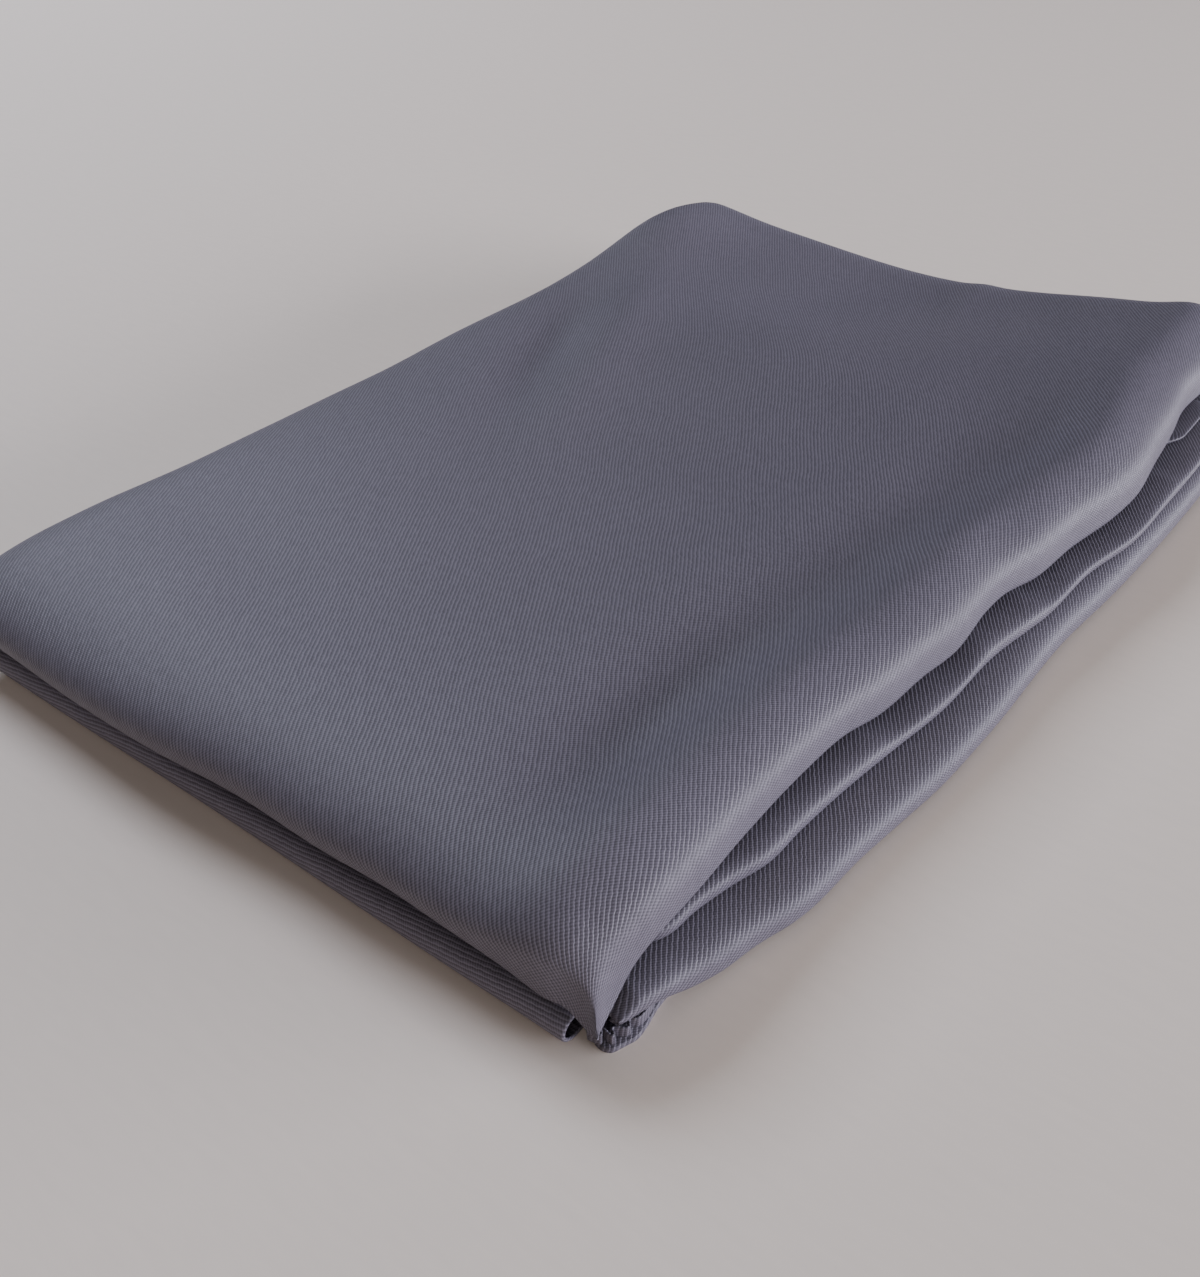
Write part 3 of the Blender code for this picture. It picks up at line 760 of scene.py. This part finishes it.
def ribbed_chiffon(name, settings, rib_angle, shade=1.0):
    """Chiffon with fine raised ribs, each a row of small loops, at a given angle on the flat cloth."""
    material = bpy.data.materials.new(name)
    material.use_nodes = True
    tree = material.node_tree
    shader = tree.nodes["Principled BSDF"]
    uv = add_node(tree, "ShaderNodeUVMap", (-2200, 0), uv_map="cloth").outputs[0]
    turn = add_node(tree, "ShaderNodeMapping", (-2000, 0), vector_type="POINT")
    turn.inputs["Rotation"].default_value = (0.0, 0.0, -math.radians(rib_angle))
    tree.links.new(uv, turn.inputs["Vector"])
    split = add_node(tree, "ShaderNodeSeparateXYZ", (-1800, 0))
    tree.links.new(turn.outputs[0], split.inputs[0])
    along, across = split.outputs[0], split.outputs[1]

    # Ribs, which wander a little
    sway = noise(tree, (-1800, -300), uv, 70.0, 1.0)
    sway = math_node(tree, "MULTIPLY", (-1600, -300), sway, settings.rib_pitch * RIB_SWAY)
    fine_sway = noise(tree, (-1800, -500), uv, 900.0, 1.0)
    fine_sway = math_node(tree, "MULTIPLY", (-1600, -500), fine_sway, settings.rib_pitch * RIB_FINE_SWAY)
    placed = math_node(tree, "ADD", (-1400, -200), across, sway)
    placed = math_node(tree, "ADD", (-1300, -300), placed, fine_sway)
    wave = math_node(tree, "MULTIPLY", (-1200, -200), placed, 2 * math.pi / settings.rib_pitch)
    rib = math_node(tree, "SINE", (-1000, -100), wave)
    rib = math_node(tree, "MULTIPLY_ADD", (-800, -100), rib, 0.5, 0.5)
    rib = math_node(tree, "POWER", (-600, -100), rib, 1.5)
    between = math_node(tree, "MULTIPLY", (-1000, -300), wave, 2.0)
    between = math_node(tree, "SINE", (-800, -300), between)

    # Loops of yarn along each rib, one rib half a loop behind the next
    stagger = math_node(tree, "MULTIPLY", (-1200, 200), wave, 0.5)
    loop_length = settings.rib_pitch * LOOP_LENGTH
    loops = math_node(tree, "MULTIPLY", (-1200, 350), along, 2 * math.pi / loop_length)
    loops = math_node(tree, "ADD", (-1000, 250), loops, stagger)
    loops = math_node(tree, "SINE", (-800, 250), loops)
    fuzz = noise(tree, (-1000, 500), uv, 2600.0, 2.0)
    patchy = noise(tree, (-1000, 700), uv, 420.0, 2.0)

    height = math_node(tree, "MULTIPLY", (-400, -300), between, BETWEEN_PART)
    height = math_node(tree, "ADD", (-300, -200), height, rib)
    loop_part = math_node(tree, "MULTIPLY", (-400, 200), loops, LOOP_PART)
    height = math_node(tree, "ADD", (-200, -100), height, loop_part)
    fuzz_part = math_node(tree, "MULTIPLY", (-400, 450), fuzz, FUZZ_PART)
    height = math_node(tree, "ADD", (-100, 0), height, fuzz_part)
    patch_part = math_node(tree, "MULTIPLY", (-400, 650), patchy, PATCH_PART)
    height = math_node(tree, "ADD", (0, 0), height, patch_part)

    # Colour: painted shade between the ribs and painted light on them, standing in for the light and shade
    # of the rib relief, and a soft unevenness all over
    level = map_range(tree, (200, 200), height, 0.0, 1.0, start=0.2, end=1.5)
    # The shade argument scales both colours: above 1 it is painted light, below 1 painted shade
    cloth = shaded(settings.cloth_colour, shade)
    groove_shade = shaded(settings.groove_shade_colour, shade)
    colour = mixed(tree, (400, 200), "MIX", level, groove_shade, cloth)
    broad = noise(tree, (200, 450), uv, 22.0, 2.0)
    tone = map_range(tree, (400, 450), broad, 0.93, 1.07)
    colour = mixed(tree, (800, 250), "MULTIPLY", 1.0, colour, grey(tree, (600, 450), tone))
    tree.links.new(colour, shader.inputs["Base Color"])

    rough = map_range(tree, (600, 0), level, GROOVE_ROUGHNESS, RIB_ROUGHNESS)
    tree.links.new(rough, shader.inputs["Roughness"])
    bump = add_node(tree, "ShaderNodeBump", (600, -250))
    bump.inputs["Strength"].default_value = 1.0
    bump.inputs["Distance"].default_value = settings.rib_depth
    tree.links.new(height, bump.inputs["Height"])
    tree.links.new(bump.outputs[0], shader.inputs["Normal"])
    shader.location = (1100, 100)
    tree.nodes["Material Output"].location = (1400, 100)
    shader.inputs["Specular IOR Level"].default_value = CLOTH_GLOSS
    shader.inputs["Sheen Weight"].default_value = settings.sheen
    shader.inputs["Sheen Roughness"].default_value = 0.42
    shader.inputs["Sheen Tint"].default_value = (0.84, 0.86, 1.0, 1.0)
    return material


def table_finish(settings):
    """A matt painted table with a faint unevenness."""
    material = bpy.data.materials.new("table_paint")
    material.use_nodes = True
    tree = material.node_tree
    shader = tree.nodes["Principled BSDF"]
    place = add_node(tree, "ShaderNodeTexCoord", (-1000, 0)).outputs["Object"]
    stretch = add_node(tree, "ShaderNodeMapping", (-800, 0))
    stretch.inputs["Rotation"].default_value = (0.0, 0.0, math.radians(-51))
    stretch.inputs["Scale"].default_value = (1.0, 0.22, 1.0)
    tree.links.new(place, stretch.inputs["Vector"])
    grain = noise(tree, (-600, 0), stretch.outputs[0], 520.0, 3.0)
    tone = map_range(tree, (-400, 0), grain, 0.97, 1.03)
    paint = shaded(settings.table_colour, 1.0)
    colour = mixed(tree, (0, 0), "MULTIPLY", 1.0, paint, grey(tree, (-200, 0), tone))
    tree.links.new(colour, shader.inputs["Base Color"])
    bump = add_node(tree, "ShaderNodeBump", (0, -250))
    bump.inputs["Distance"].default_value = 0.00005
    bump.inputs["Strength"].default_value = 0.4
    tree.links.new(grain, bump.inputs["Height"])
    tree.links.new(bump.outputs[0], shader.inputs["Normal"])
    shader.inputs["Roughness"].default_value = 0.62
    shader.inputs["Specular IOR Level"].default_value = 0.3
    return material


def stand_for(piece, node):
    """The piece rides on the pack and is shown in place of its solid."""
    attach(piece, "root")
    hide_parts(node)


def folded(piece, node):
    """The piece stands for its solid."""
    stand_for(piece, node)


class HijabSettings(bpy.types.PropertyGroup):
    wall: bpy.props.FloatProperty(
        name="Cloth wall", description="Thickness of the top sheet", default=0.0006,
        precision=5, unit="LENGTH",
    )
    fold_wall: bpy.props.FloatProperty(
        name="Fold wall", description="Thickness of the folds under it", default=0.0004,
        precision=5, unit="LENGTH",
    )
    rib_pitch: bpy.props.FloatProperty(
        name="Rib pitch", description="Distance from rib to rib of the weave", default=0.00082,
        precision=5, unit="LENGTH",
    )
    rib_depth: bpy.props.FloatProperty(
        name="Rib depth", description="Height of the ribs", default=0.00005, precision=5, unit="LENGTH"
    )
    rib_angle: bpy.props.FloatProperty(
        name="Rib angle", description="Turn of the ribs from the pack's long side, in degrees", default=33.0
    )
    sheen: bpy.props.FloatProperty(
        name="Sheen", description="Strength of the soft shine at grazing angles", default=0.02,
        min=0.0, max=1.0,
    )
    # Rib-top and between-rib colours: the cloth's colour, painted lighter on the ribs and darker between
    # them as painted light and shade of the rib relief
    cloth_colour: bpy.props.FloatVectorProperty(
        name="Cloth colour", description="Colour on top of the ribs", subtype="COLOR", size=3,
        default=(0.182, 0.165, 0.207), min=0.0, max=1.0,
    )
    groove_shade_colour: bpy.props.FloatVectorProperty(
        name="Groove colour", description="Colour between the ribs", subtype="COLOR", size=3,
        default=(0.062, 0.055, 0.071), min=0.0, max=1.0,
    )


class StageSettings(bpy.types.PropertyGroup):
    table_colour: bpy.props.FloatVectorProperty(
        name="Table colour", description="Colour of the table", subtype="COLOR", size=3,
        default=(0.90, 0.79, 0.70), min=0.0, max=1.0,
    )
    eye_height: bpy.props.FloatProperty(
        name="Eye height", description="Height of the camera above the table", default=0.175, unit="LENGTH"
    )
    lens: bpy.props.FloatProperty(name="Lens", description="Focal length in millimetres", default=36.36)


class HIJAB_OT_top_sheet(bpy.types.Operator):
    """Lay the top sheet over the pack, with its hollows, creases and turned-under edges"""

    bl_idname = "hijab.top_sheet"
    bl_label = "Top sheet"

    def execute(self, context):
        settings = context.scene.hijab
        grid = top_sheet_grid()
        uvs = cloth_coordinates(grid, 90, 62)
        material = ribbed_chiffon("chiffon_top", settings, settings.rib_angle)
        piece = cloth_from_grid("top_sheet", grid, uvs, settings.wall, material)
        folded(piece, "top_panel")
        return {"FINISHED"}


class HIJAB_OT_side_folds(bpy.types.Operator):
    """Add the folds that show as bands along the long sides"""

    bl_idname = "hijab.side_folds"
    bl_label = "Side folds"

    def execute(self, context):
        settings = context.scene.hijab
        for name, node, grid, flat, below in (
            ("middle_sheet", "middle_fold", middle_sheet_grid(), (0.235, 0.260), "under_panel"),
            ("under_sheet", "under_panel", under_sheet_grid(), (0.225, 0.273), "lower_fold"),
            ("end_tongue", "end_fold", end_tongue_grid(), (0.017, 0.032), "middle_fold"),
        ):
            material = ribbed_chiffon(name + "_chiffon", settings, settings.rib_angle)
            uvs = cloth_coordinates(grid, grid.shape[0] // 2, grid.shape[1] // 2)
            piece = cloth_from_grid(name, grid, uvs, settings.fold_wall, material)
            folded(piece, node)
        return {"FINISHED"}


class HIJAB_OT_lower_pad(bpy.types.Operator):
    """Add the thin lower pad: its turn of cloth, the pleats at the corner and the sheet on the table"""

    bl_idname = "hijab.lower_pad"
    bl_label = "Lower pad"

    def execute(self, context):
        settings = context.scene.hijab
        grid = lower_turn_grid()
        # Painted light: the turn's colour is 1.4 times as bright, standing in for light on the strip under
        # the pad above
        material = ribbed_chiffon("lower_turn_chiffon", settings, -82.0, shade=1.4)
        uvs = cloth_coordinates(grid, 20, 42)
        piece = cloth_from_grid("lower_turn", grid, uvs, settings.fold_wall, material)
        folded(piece, "lower_fold")

        outline = rounded_outline(CORNER_PLEATS, 3)
        levels = np.linspace(BASE_LEVEL + SEAM_GAP, PLEAT_TOP, 7)
        grid = np.array([[(x, y, z) for x, y in outline] for z in levels[::-1]])
        uvs = cloth_coordinates(grid, 3, 0)
        uvs = np.stack([uvs[..., 1], grid[..., 2]], axis=-1)
        material = ribbed_chiffon("corner_chiffon", settings, 80.0)
        turns = cloth_from_grid("corner_turns", grid, uvs, settings.fold_wall, material, closed=True)
        stand_for(turns, "corner_pleats")

        outline = rounded_outline(BASE_CORNERS, 3)
        count = len(outline)
        way = outline.mean(axis=0) - outline
        way /= np.linalg.norm(way, axis=1, keepdims=True)
        points = []
        for inset, level in BASE_RINGS:
            points += [(x, y, level) for x, y in outline + way * inset]
        last = count * (len(BASE_RINGS) - 1)
        faces = [tuple(range(count))[::-1], tuple(range(last, last + count))]
        faces += faces_between_rows(len(BASE_RINGS), count, closed=True, turned=True)
        uvs = np.array(points)[:, :2] + np.array(points)[:, 2:]
        material = ribbed_chiffon("base_chiffon", settings, settings.rib_angle)
        piece = new_object("base_sheet", points, faces, uvs, material)
        piece.data.set_sharp_from_angle(angle=math.radians(50))
        folded(piece, "base_panel")
        return {"FINISHED"}


class HIJAB_OT_hidden_layers(bpy.types.Operator):
    """Fill both pads with their hidden layers, layered at the edges"""

    bl_idname = "hijab.hidden_layers"
    bl_label = "Hidden layers"

    def execute(self, context):
        settings = context.scene.hijab
        # Painted shade: the hidden layers' colour is 0.85 times as bright, for the shade inside the pack
        material = ribbed_chiffon("layers_chiffon", settings, settings.rib_angle, shade=0.85)
        lowest = MIDDLE_LEVEL + 1.5
        rings = []
        for x in np.linspace(2.0, 284.0, 90):
            narrow = 10.0 * (1 - ease((x - 2.0) / 12.0)) + 6.0 * ease((x - 268.0) / 16.0)
            near_y = top_out(x) + 8.5 + narrow
            far_y = far_out(x) - 7.0 - narrow
            upper = []
            for share in np.linspace(1.0, 0.0, 40):
                y = near_y + (far_y - near_y) * share
                outward_y = y - 3.0 if share < 0.5 else y + 3.0
                outward_x = x - 3.0 if x < 140.0 else x + 3.0
                level = min(skin_level(outward_x, outward_y), skin_level(x, y)) - 2.9
                upper.append((y, max(level, lowest + 1.5)))
            rings.append(layered_ring(x, near_y, far_y, upper, lowest, 6, 0.7))
        piece = closed_stack("upper_layers", rings, material)
        folded(piece, "inner_layers")

        lowest = BASE_LEVEL + SEAM_GAP
        highest = LOWER_LEVEL - 1.2 - SEAM_GAP
        rings = []
        for x in np.linspace(3.5, 281.0, 60):
            upper = [(y, highest) for y in (166.0, 150.0, 80.0, 22.0)] + [(6.0, highest - 0.9)]
            rings.append(layered_ring(x, 6.0, 166.0, upper, lowest, 3, 0.6))
        piece = closed_stack("lower_stack", rings, material)
        folded(piece, "lower_layers")
        return {"FINISHED"}


class HIJAB_OT_stage(bpy.types.Operator):
    """Set the table, the lights and the camera"""

    bl_idname = "hijab.stage"
    bl_label = "Stage"

    def execute(self, context):
        stage = context.scene.hijab_stage
        bpy.ops.mesh.primitive_plane_add(size=8.0, location=(0.0, 0.0, 0.0))
        table = context.object
        table.name = "table"
        table.data.materials.append(table_finish(stage))

        for name, azimuth, height, sides, power, colour in LIGHTS:
            data = bpy.data.lights.new(name, "AREA")
            data.shape = "RECTANGLE"
            data.size, data.size_y = sides
            data.energy = power
            data.color = colour
            lamp = bpy.data.objects.new(name, data)
            turn, rise = math.radians(azimuth), math.radians(height)
            way = Vector((math.cos(rise) * math.cos(turn), math.cos(rise) * math.sin(turn), math.sin(rise)))
            at = way * LIGHT_DISTANCE
            lamp.location = at
            lamp.rotation_euler = (-at).to_track_quat("-Z", "Y").to_euler()
            context.scene.collection.objects.link(lamp)
        world = bpy.data.worlds.new("room")
        world.use_nodes = True
        world.node_tree.nodes["Background"].inputs["Color"].default_value = (0.80, 0.79, 0.78, 1.0)
        world.node_tree.nodes["Background"].inputs["Strength"].default_value = 0.07
        context.scene.world = world

        camera = bpy.data.cameras.new("camera")
        camera.sensor_width = 36.0
        camera.lens = stage.lens
        eye = bpy.data.objects.new("camera", camera)
        turn, tilt, roll = (math.radians(angle) for angle in (CAMERA_TURN, CAMERA_TILT, CAMERA_ROLL))
        forward = Vector((math.cos(tilt) * math.cos(turn), math.cos(tilt) * math.sin(turn), math.sin(tilt)))
        level = forward.cross(Vector((0, 0, 1))).normalized()
        right = level * math.cos(roll) + level.cross(forward) * math.sin(roll)
        up = right.cross(forward)
        matrix = Matrix((right, up, -forward)).transposed().to_4x4()
        matrix.translation = (*CAMERA_PLACE, stage.eye_height)
        eye.matrix_world = matrix
        context.scene.collection.objects.link(eye)
        context.scene.camera = eye
        return {"FINISHED"}


class HIJAB_PT_panel(bpy.types.Panel):
    bl_label = "Folded hijab"
    bl_idname = "HIJAB_PT_panel"
    bl_space_type = "VIEW_3D"
    bl_region_type = "UI"
    bl_category = "Hijab"

    def draw(self, context):
        for settings in (context.scene.hijab, context.scene.hijab_stage):
            for key in settings.bl_rna.properties.keys():
                if key not in {"rna_type", "name"}:
                    self.layout.prop(settings, key)
        for operator in OPERATORS:
            self.layout.operator(operator.bl_idname)


OPERATORS = (
    HIJAB_OT_top_sheet,
    HIJAB_OT_side_folds,
    HIJAB_OT_lower_pad,
    HIJAB_OT_hidden_layers,
    HIJAB_OT_stage,
)
CLASSES = (HijabSettings, StageSettings, *OPERATORS, HIJAB_PT_panel)


def register():
    for item in CLASSES:
        bpy.utils.register_class(item)
    bpy.types.Scene.hijab = bpy.props.PointerProperty(type=HijabSettings)
    bpy.types.Scene.hijab_stage = bpy.props.PointerProperty(type=StageSettings)


def unregister():
    del bpy.types.Scene.hijab_stage
    del bpy.types.Scene.hijab
    for item in reversed(CLASSES):
        bpy.utils.unregister_class(item)


def main():
    register()
    bpy.ops.object.select_all(action="DESELECT")
    bpy.ops.hijab.top_sheet()
    bpy.ops.hijab.side_folds()
    bpy.ops.hijab.lower_pad()
    bpy.ops.hijab.hidden_layers()
    bpy.ops.hijab.stage()


if __name__ == "__main__":
    main()
